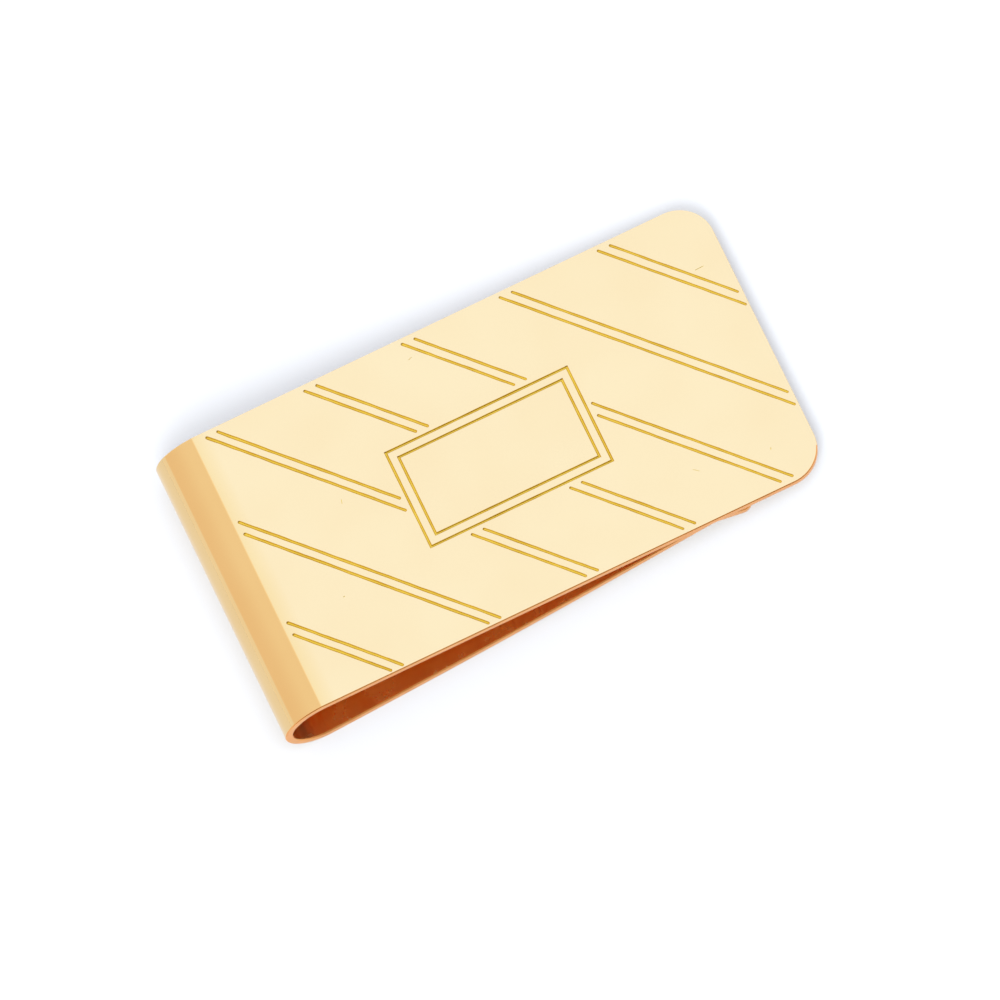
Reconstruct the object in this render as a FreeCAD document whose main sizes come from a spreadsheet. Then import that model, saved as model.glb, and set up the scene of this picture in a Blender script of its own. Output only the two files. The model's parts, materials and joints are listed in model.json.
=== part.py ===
import FreeCAD, Part
import math
import os

import Sketcher

# Money clip: one strip of spring sheet folded once, split into an engraved face plate, the spring bend,
# the bowed grip leaf and its flared lip.
#
# Design frame: X runs along the clip from the centre of the fold's nose towards the free end, Y runs across
# the strip and Z is the face plate's outward normal, with the plate's engraved face at z = 0. Each body is
# then turned and moved by one rest placement, which lays the clip on a table at z = 0, resting on the belly
# of the bend and the end of the lip, with the origin at the centre of its footprint.

# alias, value in millimetres or degrees, meaning
DRIVING_SIZES = [
    ("overall_length", 50.8, "nose of the fold to the free end of the plate"),
    ("strip_width", 26.6, "width of the plate and the bend"),
    ("sheet_thickness", 0.70, "thickness of the spring sheet"),
    ("free_corner_radius", 3.2, "the plate's two free corners, seen from above"),
    ("fold_height", 7.15, "outside height of the fold"),
    ("nose_radius", 3.42, "outside radius of the fold's nose"),
    ("shoulder_angle", 45.0, "turn of the gentler arc that leads from the plate into the nose"),
    ("belly_angle", 6.5, "rise of the leaf where it leaves the bend"),
    ("contact_distance", 36.6, "nose centre to the ridge where the leaf meets the plate"),
    ("contact_gap", 0.05, "clearance left between the ridge and the plate"),
    ("ridge_radius", 1.6, "underside radius of the contact ridge"),
    ("lip_angle", 22.0, "slope of the flared lip away from the plate"),
    ("lip_reach", 40.3, "nose centre to the end of the lip"),
    ("lip_inset", 0.30, "how far the tapered leaf is set in on each side at the end of the lip"),
    ("lip_corner_radius", 1.1, "the lip's two corners, seen from above"),
    ("panel_distance", 22.88, "nose centre to the centre of the monogram panel"),
    ("panel_length", 16.8, "outer frame line of the panel, along X"),
    ("panel_height", 9.24, "outer frame line of the panel, along Y"),
    ("frame_step", 0.83, "outer frame line to inner frame line"),
    ("groove_width", 0.26, "width of every engraved line"),
    ("groove_depth", 0.12, "depth of every engraved line"),
    ("groove_angle", 47.45, "slope of the diagonal lines against X"),
    ("pair_pitch", 9.11, "one double line to the next, along X"),
    ("pair_spacing", 1.09, "the two lines of a double line, along X"),
    ("edge_margin", 0.47, "the plate's long edges to the end of a diagonal's middle line"),
    ("free_end_margin", 0.42, "the plate's free end to the end of a diagonal's middle line"),
    ("fold_margin", 1.02, "nose centre to the start of a diagonal's middle line"),
    ("panel_margin", 0.60, "outer frame line to the end of a diagonal's middle line"),
]
PAIRS_EACH_SIDE = 3

doc = FreeCAD.newDocument("money_clip")
sheet = doc.addObject("Spreadsheet::Sheet", "sizes")
for row, (alias, value, meaning) in enumerate(DRIVING_SIZES, start=1):
    sheet.set("A%d" % row, alias)
    sheet.set("B%d" % row, str(value))
    sheet.set("C%d" % row, meaning)
    sheet.setAlias("B%d" % row, alias)
doc.recompute()


def size(alias):
    """The value of one driving size."""
    return float(sheet.get(alias))


# ---- derived geometry of the folded strip, in the design frame -------------------------------------------

thickness = size("sheet_thickness")
half_width = size("strip_width") / 2
nose_radius = size("nose_radius")
nose_centre = (0.0, nose_radius - size("fold_height"))
plate_end = size("overall_length") - nose_radius

# The shoulder arc is tangent to the plate's face and to the nose.
shoulder_turn = math.radians(size("shoulder_angle"))
shoulder_radius = (-nose_centre[1] - nose_radius * math.cos(shoulder_turn)) / (1 - math.cos(shoulder_turn))
shoulder_centre = ((shoulder_radius - nose_radius) * math.sin(shoulder_turn), -shoulder_radius)

# The leaf's middle line leaves the bend at the belly angle and is tangent to the contact ridge.
belly_turn = math.radians(size("belly_angle"))
middle_radius = nose_radius - thickness / 2
leaf_start = (middle_radius * math.sin(belly_turn), nose_centre[1] - middle_radius * math.cos(belly_turn))
ridge_middle_radius = size("ridge_radius") + thickness / 2
ridge_centre = (size("contact_distance"), -2 * thickness - size("contact_gap") - size("ridge_radius"))
to_start = (leaf_start[0] - ridge_centre[0], leaf_start[1] - ridge_centre[1])
above_start = -to_start[0] * math.sin(belly_turn) + to_start[1] * math.cos(belly_turn)
bow_radius = (math.hypot(*to_start) ** 2 - ridge_middle_radius ** 2) / 2 / (ridge_middle_radius - above_start)
bow_centre = (leaf_start[0] - bow_radius * math.sin(belly_turn),
              leaf_start[1] + bow_radius * math.cos(belly_turn))
contact_turn = math.atan2(ridge_centre[0] - bow_centre[0], bow_centre[1] - ridge_centre[1])
lip_turn = math.radians(size("lip_angle"))
lip_bend = (ridge_centre[0] + size("ridge_radius") * math.sin(lip_turn),
            ridge_centre[1] + size("ridge_radius") * math.cos(lip_turn))
lip_run = size("lip_reach") - lip_bend[0]
lip_tip = (size("lip_reach"), lip_bend[1] - lip_run * math.tan(lip_turn))

# At rest the table touches the nose arc and the lip's tip: their common tangent gives the tilt.
tip_rise = lip_tip[1] - nose_centre[1]
tip_run = lip_tip[0] - nose_centre[0]
rest_tilt = math.atan2(tip_rise, tip_run) + math.asin(nose_radius / math.hypot(tip_run, tip_rise))
low_x = nose_centre[1] * math.sin(rest_tilt) - nose_radius
high_x = plate_end * math.cos(rest_tilt)
table_z = nose_centre[1] * math.cos(rest_tilt) - nose_radius
rest_placement = FreeCAD.Placement(
    FreeCAD.Vector(-(low_x + high_x) / 2, 0, -table_z),
    FreeCAD.Rotation(FreeCAD.Vector(0, 1, 0), math.degrees(rest_tilt)))


# ---- sketch helpers -------------------------------------------------------------------------------------

START, END, CENTRE = 1, 2, 3
X_AXIS, Z_AXIS = -1, -2
ORIGIN = (-1, 1)


def new_body(name):
    """An empty body with its label."""
    body = doc.addObject("PartDesign::Body", name)
    body.Label = name
    return body


def new_sketch(body, name, role):
    """A sketch on one of the body's own origin planes."""
    sketch = body.newObject("Sketcher::SketchObject", name)
    plane = next(item for item in body.Origin.OriginFeatures if item.Role == role)
    sketch.AttachmentSupport = [(plane, "")]
    sketch.MapMode = "FlatFace"
    return sketch


def add_arc(sketch, centre, radius, start, end):
    """An arc of a circle, anticlockwise between two polar angles in radians."""
    circle = Part.Circle(FreeCAD.Vector(centre[0], centre[1], 0), FreeCAD.Vector(0, 0, 1), radius)
    return sketch.addGeometry(Part.ArcOfCircle(circle, start, end), False)


def add_line(sketch, start, end):
    """A straight line between two points."""
    return sketch.addGeometry(
        Part.LineSegment(FreeCAD.Vector(start[0], start[1], 0), FreeCAD.Vector(end[0], end[1], 0)), False)


def on_circle(centre, radius, angle):
    """The point of a circle at a polar angle in radians."""
    return (centre[0] + radius * math.cos(angle), centre[1] + radius * math.sin(angle))


def tie(sketch, kind, *places):
    """A geometric constraint."""
    sketch.addConstraint(Sketcher.Constraint(kind, *places))


def measure(sketch, kind, places, value, formula=None):
    """A dimension, bound to the sheet where a formula is given."""
    index = sketch.addConstraint(Sketcher.Constraint(kind, *places, value))
    if formula:
        sketch.setExpression("Constraints[%d]" % index, formula)


def place_point(sketch, geometry, end, point, formulas=(None, None)):
    """Holds one point of a sketch at its distances from the origin."""
    for kind, value, formula in zip(("DistanceX", "DistanceY"), point, formulas):
        measure(sketch, kind, (ORIGIN[0], ORIGIN[1], geometry, end), value, formula)


def pad_across(body, sketch, name):
    """The strip's profile, drawn in XZ and extended evenly to both sides over the strip's width."""
    pad = body.newObject("PartDesign::Pad", name)
    pad.Profile = sketch
    pad.Midplane = True
    pad.setExpression("Length", "sizes.strip_width")
    body.Tip = pad
    doc.recompute()
    return pad


def round_edges(body, base, name, wanted, formula):
    """Rounds the edges of a feature that a test picks out."""
    fillet = body.newObject("PartDesign::Fillet", name)
    names = ["Edge%d" % number for number, edge in enumerate(base.Shape.Edges, start=1) if wanted(edge)]
    fillet.Base = (base, names)
    fillet.setExpression("Radius", formula)
    body.Tip = fillet
    doc.recompute()
    return fillet


# ---- face plate -----------------------------------------------------------------------------------------

def clip_to_box(start, end, low, high):
    """The stretch of a line inside a box, as two fractions of its length, or None where it misses."""
    enter, leave = 0.0, 1.0
    for axis in (0, 1):
        run = end[axis] - start[axis]
        near, far = sorted(((low[axis] - start[axis]) / run, (high[axis] - start[axis]) / run))
        enter, leave = max(enter, near), min(leave, far)
    return (enter, leave) if enter < leave else None


def diagonal_lines():
    """Middle lines of the diagonal grooves, trimmed to the plate's field and to the panel's surround."""
    field_low = (size("fold_margin"), size("edge_margin") - half_width)
    field_high = (plate_end - size("free_end_margin"), half_width - size("edge_margin"))
    middle = size("panel_distance")
    reach, rise = (size(name) / 2 + size("panel_margin") for name in ("panel_length", "panel_height"))
    slope = math.radians(size("groove_angle"))
    run = half_width / math.tan(slope)
    lines = []
    for pair in range(-PAIRS_EACH_SIDE, PAIRS_EACH_SIDE + 1):
        for side in (-0.5, 0.5):
            centre = middle + pair * size("pair_pitch") + side * size("pair_spacing")
            start, end = (centre - run, half_width), (centre + run, -half_width)
            kept = clip_to_box(start, end, field_low, field_high)
            cut = clip_to_box(start, end, (middle - reach, -rise), (middle + reach, rise))
            stretches = [kept]
            if cut:
                stretches = [(kept[0], cut[0]), (cut[1], kept[1])]
            for first, last in stretches:
                ends = [(start[0] + share * (end[0] - start[0]), start[1] + share * (end[1] - start[1]))
                        for share in (first, last)]
                if math.dist(*ends) > size("groove_width"):
                    lines.append(ends)
    return lines


def add_slot(sketch, start, end, first_slot):
    """A round-ended slot about a middle line. Every slot has the first one's radius."""
    radius = size("groove_width") / 2
    along = math.atan2(end[1] - start[1], end[0] - start[0])
    to_right, to_left = along - math.pi / 2, along + math.pi / 2
    tail = add_arc(sketch, start, radius, to_left, to_left + math.pi)
    nose = add_arc(sketch, end, radius, to_right, to_left)
    right = add_line(sketch, on_circle(start, radius, to_right), on_circle(end, radius, to_right))
    left = add_line(sketch, on_circle(end, radius, to_left), on_circle(start, radius, to_left))
    tie(sketch, "Tangent", tail, END, right, START)
    tie(sketch, "Tangent", right, END, nose, START)
    tie(sketch, "Tangent", nose, END, left, START)
    tie(sketch, "Tangent", left, END, tail, START)
    if first_slot is None:
        measure(sketch, "Radius", (tail,), radius, "sizes.groove_width / 2")
    else:
        tie(sketch, "Equal", first_slot, tail)
    place_point(sketch, tail, CENTRE, start)
    place_point(sketch, nose, CENTRE, end)
    return tail


def add_rectangle(sketch, half_size, formulas):
    """A rectangle about the panel's centre, in the XY plane. The formulas give its two half sizes."""
    middle = size("panel_distance")
    right, top = middle + half_size[0], half_size[1]
    left, bottom = middle - half_size[0], -half_size[1]
    corners = [(left, bottom), (right, bottom), (right, top), (left, top)]
    sides = [add_line(sketch, corners[i], corners[(i + 1) % 4]) for i in range(4)]
    for i in range(4):
        tie(sketch, "Coincident", sides[i], END, sides[(i + 1) % 4], START)
        tie(sketch, "Vertical" if i % 2 else "Horizontal", sides[i])
    place_point(sketch, sides[1], END, (right, top), ("sizes.panel_distance + " + formulas[0], formulas[1]))
    place_point(sketch, sides[3], END, (left, bottom),
                ("sizes.panel_distance - (%s)" % formulas[0], "-(%s)" % formulas[1]))


def make_face_plate():
    """The flat plate with rounded free corners, its diagonal double lines and the double panel frame."""
    body = new_body("face_plate")
    outline = new_sketch(body, "plate_outline", "XZ_Plane")
    left, right = shoulder_centre[0], plate_end
    corners = [(left, -thickness), (right, -thickness), (right, 0.0), (left, 0.0)]
    sides = [add_line(outline, corners[i], corners[(i + 1) % 4]) for i in range(4)]
    for i in range(4):
        tie(outline, "Coincident", sides[i], END, sides[(i + 1) % 4], START)
        tie(outline, "Vertical" if i % 2 else "Horizontal", sides[i])
    place_point(outline, sides[0], START, corners[0], (None, "-sizes.sheet_thickness"))
    place_point(outline, sides[2], START, corners[2], ("sizes.overall_length - sizes.nose_radius", None))
    pad = pad_across(body, outline, "plate_sheet")

    def at_free_corner(edge):
        return all(abs(v.X - plate_end) < 1e-6 for v in edge.Vertexes) and abs(edge.Length - thickness) < 1e-6

    rounded = round_edges(body, pad, "plate_corners", at_free_corner, "sizes.free_corner_radius")

    engraving = new_sketch(body, "engraving", "XY_Plane")
    first_slot = None
    for start, end in diagonal_lines():
        slot = add_slot(engraving, start, end, first_slot)
        first_slot = slot if first_slot is None else first_slot
    for frame_line in (0, 1):
        for sign in (1, -1):
            inset = frame_line * size("frame_step") - sign * size("groove_width") / 2
            inset_formula = "%d * sizes.frame_step - %d * sizes.groove_width / 2" % (frame_line, sign)
            half_size = [size(name) / 2 - inset for name in ("panel_length", "panel_height")]
            formulas = ["sizes.%s / 2 - (%s)" % (name, inset_formula)
                        for name in ("panel_length", "panel_height")]
            add_rectangle(engraving, half_size, formulas)
    doc.recompute()
    pocket = body.newObject("PartDesign::Pocket", "engraved_lines")
    pocket.Profile = engraving
    pocket.setExpression("Length", "sizes.groove_depth")
    body.Tip = pocket
    doc.recompute()
    if pocket.Shape.Volume > rounded.Shape.Volume - 1.0:
        raise RuntimeError("the engraving cuts nothing")
    return body


# ---- spring bend ----------------------------------------------------------------------------------------

def make_spring_bend():
    """The fold: a gentle shoulder arc, then the nose, which runs on just past the lowest point."""
    body = new_body("spring_bend")
    profile = new_sketch(body, "bend_profile", "XZ_Plane")
    inside_radius = nose_radius - thickness
    top = math.pi / 2
    joint = top + shoulder_turn
    finish = 3 * math.pi / 2 + belly_turn
    shoulder = add_arc(profile, shoulder_centre, shoulder_radius, top, joint)
    nose = add_arc(profile, nose_centre, nose_radius, joint, finish)
    nose_inside = add_arc(profile, nose_centre, inside_radius, joint, finish)
    shoulder_inside = add_arc(profile, shoulder_centre, shoulder_radius - thickness, top, joint)
    leaf_end = add_line(profile, on_circle(nose_centre, nose_radius, finish),
                        on_circle(nose_centre, inside_radius, finish))
    plate_side = add_line(profile, (shoulder_centre[0], -thickness), (shoulder_centre[0], 0.0))
    tie(profile, "Tangent", shoulder, END, nose, START)
    tie(profile, "Tangent", shoulder_inside, END, nose_inside, START)
    tie(profile, "Coincident", shoulder, CENTRE, shoulder_inside, CENTRE)
    tie(profile, "Coincident", nose, CENTRE, nose_inside, CENTRE)
    tie(profile, "Coincident", nose, END, leaf_end, START)
    tie(profile, "Coincident", nose_inside, END, leaf_end, END)
    tie(profile, "Coincident", shoulder_inside, START, plate_side, START)
    tie(profile, "Coincident", shoulder, START, plate_side, END)
    tie(profile, "Vertical", plate_side)
    tie(profile, "Vertical", shoulder, START, shoulder, CENTRE)
    tie(profile, "PointOnObject", shoulder, START, X_AXIS)
    tie(profile, "PointOnObject", nose, CENTRE, Z_AXIS)
    measure(profile, "DistanceY", (ORIGIN[0], ORIGIN[1], nose, CENTRE), nose_centre[1],
            "sizes.nose_radius - sizes.fold_height")
    measure(profile, "Radius", (nose,), nose_radius, "sizes.nose_radius")
    measure(profile, "Radius", (nose_inside,), inside_radius, "sizes.nose_radius - sizes.sheet_thickness")
    measure(profile, "Radius", (shoulder,), shoulder_radius)
    measure(profile, "Angle", (leaf_end,), top + belly_turn, "90 deg + sizes.belly_angle * 1 deg")
    doc.recompute()
    pad_across(body, profile, "bend_sheet")
    return body


# ---- grip leaf and flared lip ---------------------------------------------------------------------------

def taper_sides(body, base):
    """Cuts both long edges of the leaf to the straight line from the belly to the inset end of the lip."""
    sketch = new_sketch(body, base.Name + "_taper", "XY_Plane")
    start_x = nose_radius * math.sin(belly_turn)
    end_inset = size("lip_inset") * (plate_end - start_x) / (size("lip_reach") - start_x)
    outside = half_width + thickness
    for side in (1, -1):
        corners = [(start_x, side * half_width), (plate_end, side * (half_width - end_inset)),
                   (plate_end, side * outside), (start_x, side * outside)]
        lines = [add_line(sketch, corners[i], corners[(i + 1) % 4]) for i in range(4)]
        for i in range(4):
            tie(sketch, "Coincident", lines[i], END, lines[(i + 1) % 4], START)
            place_point(sketch, lines[i], START, corners[i])
    doc.recompute()
    pocket = body.newObject("PartDesign::Pocket", base.Name + "_sides")
    pocket.Profile = sketch
    pocket.Type = "ThroughAll"
    pocket.Midplane = True
    body.Tip = pocket
    doc.recompute()
    if pocket.Shape.Volume >= base.Shape.Volume:
        raise RuntimeError("the taper cuts nothing")
    return pocket


def make_grip_leaf():
    """The back leaf: one shallow bow from the bend to the contact ridge."""
    body = new_body("grip_leaf")
    profile = new_sketch(body, "leaf_profile", "XZ_Plane")
    start, finish = belly_turn - math.pi / 2, contact_turn - math.pi / 2
    under_radius, over_radius = bow_radius + thickness / 2, bow_radius - thickness / 2
    under = add_arc(profile, bow_centre, under_radius, start, finish)
    over = add_arc(profile, bow_centre, over_radius, start, finish)
    bend_end = add_line(profile, on_circle(bow_centre, over_radius, start),
                        on_circle(bow_centre, under_radius, start))
    ridge_end = add_line(profile, on_circle(bow_centre, under_radius, finish),
                         on_circle(bow_centre, over_radius, finish))
    tie(profile, "Coincident", under, CENTRE, over, CENTRE)
    tie(profile, "Coincident", bend_end, START, over, START)
    tie(profile, "Coincident", bend_end, END, under, START)
    tie(profile, "Coincident", ridge_end, START, under, END)
    tie(profile, "Coincident", ridge_end, END, over, END)
    tie(profile, "PointOnObject", under, CENTRE, bend_end)
    tie(profile, "PointOnObject", under, CENTRE, ridge_end)
    measure(profile, "Radius", (under,), under_radius)
    measure(profile, "Distance", (bend_end,), thickness, "sizes.sheet_thickness")
    place_point(profile, under, START, on_circle(nose_centre, nose_radius, start),
                ("sizes.nose_radius * sin(sizes.belly_angle * 1 deg)",
                 "sizes.nose_radius * (1 - cos(sizes.belly_angle * 1 deg)) - sizes.fold_height"))
    measure(profile, "Angle", (bend_end,), start, "sizes.belly_angle * 1 deg - 90 deg")
    under_end = on_circle(bow_centre, under_radius, finish)
    measure(profile, "DistanceX", (ORIGIN[0], ORIGIN[1], under, END), under_end[0])
    doc.recompute()
    taper_sides(body, pad_across(body, profile, "leaf_sheet"))
    return body


def make_flared_lip():
    """The contact ridge, curved towards the plate, and the straight tip that flares away from it."""
    body = new_body("flared_lip")
    profile = new_sketch(body, "lip_profile", "XZ_Plane")
    under_radius, over_radius = size("ridge_radius"), size("ridge_radius") + thickness
    start, finish = math.pi / 2 + contact_turn, math.pi / 2 - lip_turn
    under = add_arc(profile, ridge_centre, under_radius, finish, start)
    over = add_arc(profile, ridge_centre, over_radius, finish, start)
    leaf_end = add_line(profile, on_circle(ridge_centre, over_radius, start),
                        on_circle(ridge_centre, under_radius, start))
    over_bend = on_circle(ridge_centre, over_radius, finish)
    over_tip = (over_bend[0] + lip_run, over_bend[1] - lip_run * math.tan(lip_turn))
    under_line = add_line(profile, lip_bend, lip_tip)
    over_line = add_line(profile, over_tip, over_bend)
    tip_line = add_line(profile, lip_tip, over_tip)
    tie(profile, "Coincident", under, CENTRE, over, CENTRE)
    tie(profile, "Coincident", leaf_end, START, over, END)
    tie(profile, "Coincident", leaf_end, END, under, END)
    tie(profile, "PointOnObject", under, CENTRE, leaf_end)
    tie(profile, "Tangent", under, START, under_line, START)
    tie(profile, "Tangent", over, START, over_line, END)
    tie(profile, "Coincident", under_line, END, tip_line, START)
    tie(profile, "Coincident", tip_line, END, over_line, START)
    tie(profile, "Perpendicular", tip_line, under_line)
    measure(profile, "Radius", (under,), under_radius, "sizes.ridge_radius")
    measure(profile, "Radius", (over,), over_radius, "sizes.ridge_radius + sizes.sheet_thickness")
    place_point(profile, under, CENTRE, ridge_centre,
                ("sizes.contact_distance",
                 "-(2 * sizes.sheet_thickness + sizes.contact_gap + sizes.ridge_radius)"))
    measure(profile, "Angle", (leaf_end,), start - math.pi)
    measure(profile, "Angle", (under_line,), -lip_turn, "-sizes.lip_angle * 1 deg")
    measure(profile, "DistanceX", (ORIGIN[0], ORIGIN[1], under_line, END), lip_tip[0], "sizes.lip_reach")
    doc.recompute()
    tapered = taper_sides(body, pad_across(body, profile, "lip_sheet"))

    def at_tip_corner(edge):
        return all(v.X > lip_tip[0] - 1e-6 for v in edge.Vertexes) and edge.Length < 2 * thickness

    round_edges(body, tapered, "lip_corners", at_tip_corner, "sizes.lip_corner_radius")
    return body


# ---- build, check and write -----------------------------------------------------------------------------

bodies = [make_face_plate(), make_spring_bend(), make_grip_leaf(), make_flared_lip()]
for body in bodies:
    body.Placement = rest_placement
doc.recompute()

for item in doc.Objects:
    if {"Invalid", "Error"} & set(item.State):
        raise RuntimeError("%s failed: %s" % (item.Name, item.State))
os.makedirs("parts", exist_ok=True)
for body in bodies:
    shape = body.Shape
    if shape.isNull() or not shape.isValid() or len(shape.Solids) != 1:
        raise RuntimeError("%s is not one valid solid" % body.Label)
for body in bodies:
    body.Shape.exportStep("parts/%s.step" % body.Label)
    box = body.Shape.BoundBox
    print("%-12s volume %8.2f mm3, x %.2f..%.2f, y %.2f..%.2f, z %.3f..%.3f" % (
        body.Label, body.Shape.Volume, box.XMin, box.XMax, box.YMin, box.YMax, box.ZMin, box.ZMax))
print("rest tilt %.3f deg, contact slope %.2f deg, bow radius %.1f mm, shoulder radius %.2f mm" % (
    math.degrees(rest_tilt), math.degrees(contact_turn), bow_radius, shoulder_radius))
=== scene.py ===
import json
import math
import random

import bpy
from mathutils import Matrix, Vector
from mathutils.geometry import delaunay_2d_cdt


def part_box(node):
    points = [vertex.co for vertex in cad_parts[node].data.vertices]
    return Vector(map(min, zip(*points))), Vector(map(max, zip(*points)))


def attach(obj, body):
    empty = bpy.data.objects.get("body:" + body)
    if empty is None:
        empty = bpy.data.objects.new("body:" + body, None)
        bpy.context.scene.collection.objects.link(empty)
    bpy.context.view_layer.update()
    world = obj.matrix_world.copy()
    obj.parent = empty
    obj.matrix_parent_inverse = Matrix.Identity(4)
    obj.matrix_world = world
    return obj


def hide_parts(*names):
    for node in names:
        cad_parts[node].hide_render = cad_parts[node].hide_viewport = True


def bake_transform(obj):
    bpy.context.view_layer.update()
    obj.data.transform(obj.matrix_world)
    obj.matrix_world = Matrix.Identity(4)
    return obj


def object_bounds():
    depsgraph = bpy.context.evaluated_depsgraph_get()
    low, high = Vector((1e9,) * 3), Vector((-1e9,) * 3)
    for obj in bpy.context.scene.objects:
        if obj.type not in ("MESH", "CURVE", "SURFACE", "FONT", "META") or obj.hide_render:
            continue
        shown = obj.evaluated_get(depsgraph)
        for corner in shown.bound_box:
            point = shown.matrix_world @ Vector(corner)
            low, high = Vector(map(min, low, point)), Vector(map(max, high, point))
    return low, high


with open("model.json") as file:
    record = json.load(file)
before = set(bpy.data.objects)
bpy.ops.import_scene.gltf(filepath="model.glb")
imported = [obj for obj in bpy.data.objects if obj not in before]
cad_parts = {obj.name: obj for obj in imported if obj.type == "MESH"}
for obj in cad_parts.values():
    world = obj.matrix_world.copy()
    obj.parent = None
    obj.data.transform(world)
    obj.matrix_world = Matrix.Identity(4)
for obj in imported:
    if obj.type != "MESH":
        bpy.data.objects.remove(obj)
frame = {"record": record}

# A folded money clip in polished gold plate. Each CAD node is replaced by a finely modelled stretch of the
# same strip of sheet, and the stretches meet exactly where the CAD nodes meet.
#
# Strip coordinates: x runs from the fold's nose centre to the free end, y across the strip, and z along the
# engraved face's outward normal, with that face at z = 0. Everything is in metres.

MM = 0.001
cad_low, cad_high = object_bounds()
mounts = {mount["name"]: mount for mount in frame["record"]["mounts"]}
bend_low, bend_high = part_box("spring_bend")

# ---- sizes of the strip -----------------------------------------------------------------------------------

STRIP_WIDTH = cad_high.y - cad_low.y
THICKNESS = 0.70 * MM
NOSE_RADIUS = 3.42 * MM
FOLD_HEIGHT = 7.15 * MM
PLATE_END = 50.8 * MM - NOSE_RADIUS
SHOULDER_TURN = math.radians(45)
BELLY_TURN = math.radians(6.5)
FREE_CORNER_RADIUS = 3.2 * MM
CONTACT_DISTANCE = 36.6 * MM
CONTACT_GAP = 0.05 * MM
RIDGE_RADIUS = 1.6 * MM
LIP_TURN = math.radians(22)
LIP_REACH = 40.3 * MM
LIP_INSET = 0.30 * MM
LIP_CORNER_RADIUS = 1.1 * MM
EDGE_ROUND = 0.13 * MM

# How many steps each curve of the strip is drawn with.
EDGE_STEPS = 5
SHOULDER_STEPS = 12
NOSE_STEPS = 140
LEAF_STEPS = 48
RIDGE_STEPS = 20
FREE_CORNER_STEPS = 28
LIP_CORNER_STEPS = 14

PANEL_DISTANCE = 22.88 * MM
PANEL_LENGTH = 16.8 * MM
PANEL_HEIGHT = 9.24 * MM
FRAME_STEP = 0.83 * MM
GROOVE_ANGLE = math.radians(47.45)
PAIR_PITCH = 9.11 * MM
PAIR_SPACING = 1.09 * MM
PAIRS_EACH_SIDE = 3
PANEL_MARGIN = 0.60 * MM

# The cut gets lighter towards the free end. A margin runs from the plate's rim to a groove's end, except
# that the fold margin runs from the nose centre.
FOLD_GROOVE_WIDTH = 0.28 * MM
FREE_GROOVE_WIDTH = 0.23 * MM
FRAME_GROOVE_WIDTH = 0.24 * MM
GROOVE_DEPTH_SHARE = 0.42
SCRATCH_DEPTH_SHARE = 0.25
FAR_MARGIN = 0.40 * MM
NEAR_MARGIN = 0.13 * MM
NEAR_MARGIN_GROWTH = 0.008
FREE_END_MARGIN = 0.20 * MM
FOLD_MARGIN = 0.79 * MM
MARGIN_SPREAD = 0.12 * MM

# How far a cut strays to the side, in widths, and how much its width and its depth vary.
SIDE_STRAY = 0.06
WIDTH_STRAY = 0.09
DEPTH_STRAY = 0.12

# Where the fold's reflections start, and how far from there the painted shade on the fold fades into the
# plate's gold.
CREASE_DISTANCE = 0.38 * MM
SHADE_REACH = 1.5 * MM

half_width = STRIP_WIDTH / 2
nose_z = NOSE_RADIUS - FOLD_HEIGHT
shoulder_radius = (-nose_z - NOSE_RADIUS * math.cos(SHOULDER_TURN)) / (1 - math.cos(SHOULDER_TURN))
plate_start = (shoulder_radius - NOSE_RADIUS) * math.sin(SHOULDER_TURN)

# The leaf's middle line leaves the bend at the belly and ends tangent to the contact ridge.
nose_middle = NOSE_RADIUS - THICKNESS / 2
leaf_start = Vector((nose_middle * math.sin(BELLY_TURN), nose_z - nose_middle * math.cos(BELLY_TURN)))
ridge_middle = RIDGE_RADIUS + THICKNESS / 2
ridge_centre = Vector((CONTACT_DISTANCE, -2 * THICKNESS - CONTACT_GAP - RIDGE_RADIUS))
leaf_left = Vector((-math.sin(BELLY_TURN), math.cos(BELLY_TURN)))
to_ridge = ridge_centre - leaf_start
bow_radius = (to_ridge.length_squared - ridge_middle ** 2) / 2 / (ridge_middle + to_ridge.dot(leaf_left))
bow_centre = leaf_start + bow_radius * leaf_left
contact_turn = math.atan2(ridge_centre.x - bow_centre.x, bow_centre.y - ridge_centre.y)
lip_run = (LIP_REACH - CONTACT_DISTANCE - RIDGE_RADIUS * math.sin(LIP_TURN)) / math.cos(LIP_TURN)

# ---- from strip coordinates to the row frame --------------------------------------------------------------

face_normal = Vector(mounts["monogram_panel"]["axis"]).normalized()
strip_along = Vector((0, 1, 0)).cross(face_normal)
strip_turn = Matrix((strip_along, (0, 1, 0), face_normal)).transposed()
nose_centre = Vector((bend_low.x + NOSE_RADIUS, 0.0, bend_low.z + NOSE_RADIUS))
strip_origin = nose_centre - nose_z * face_normal

# ---- the strip's skin -------------------------------------------------------------------------------------

# Each piece's materials, in this order.
OUTSIDE, CUT_EDGE, INSIDE, ENGRAVED = range(4)

# Points are shared on a grid with this many steps in a metre.
POINT_GRID = 1e8

# How far round a rounded edge the finish of the outer and the inner face reaches, as the part of the normal
# that points across the strip. Beyond it lies the darker edge gold, whose colour is painted shade. It starts
# sooner on the near edge, so the near rim gets more painted shade.
FAR_SHADE_START = 0.9
NEAR_SHADE_START_OUTSIDE = 0.35
NEAR_SHADE_START_INSIDE = 0.15

# A step of the rim counts as near edge where its normal points across by more than this.
NEAR_RIM = 0.35


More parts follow.
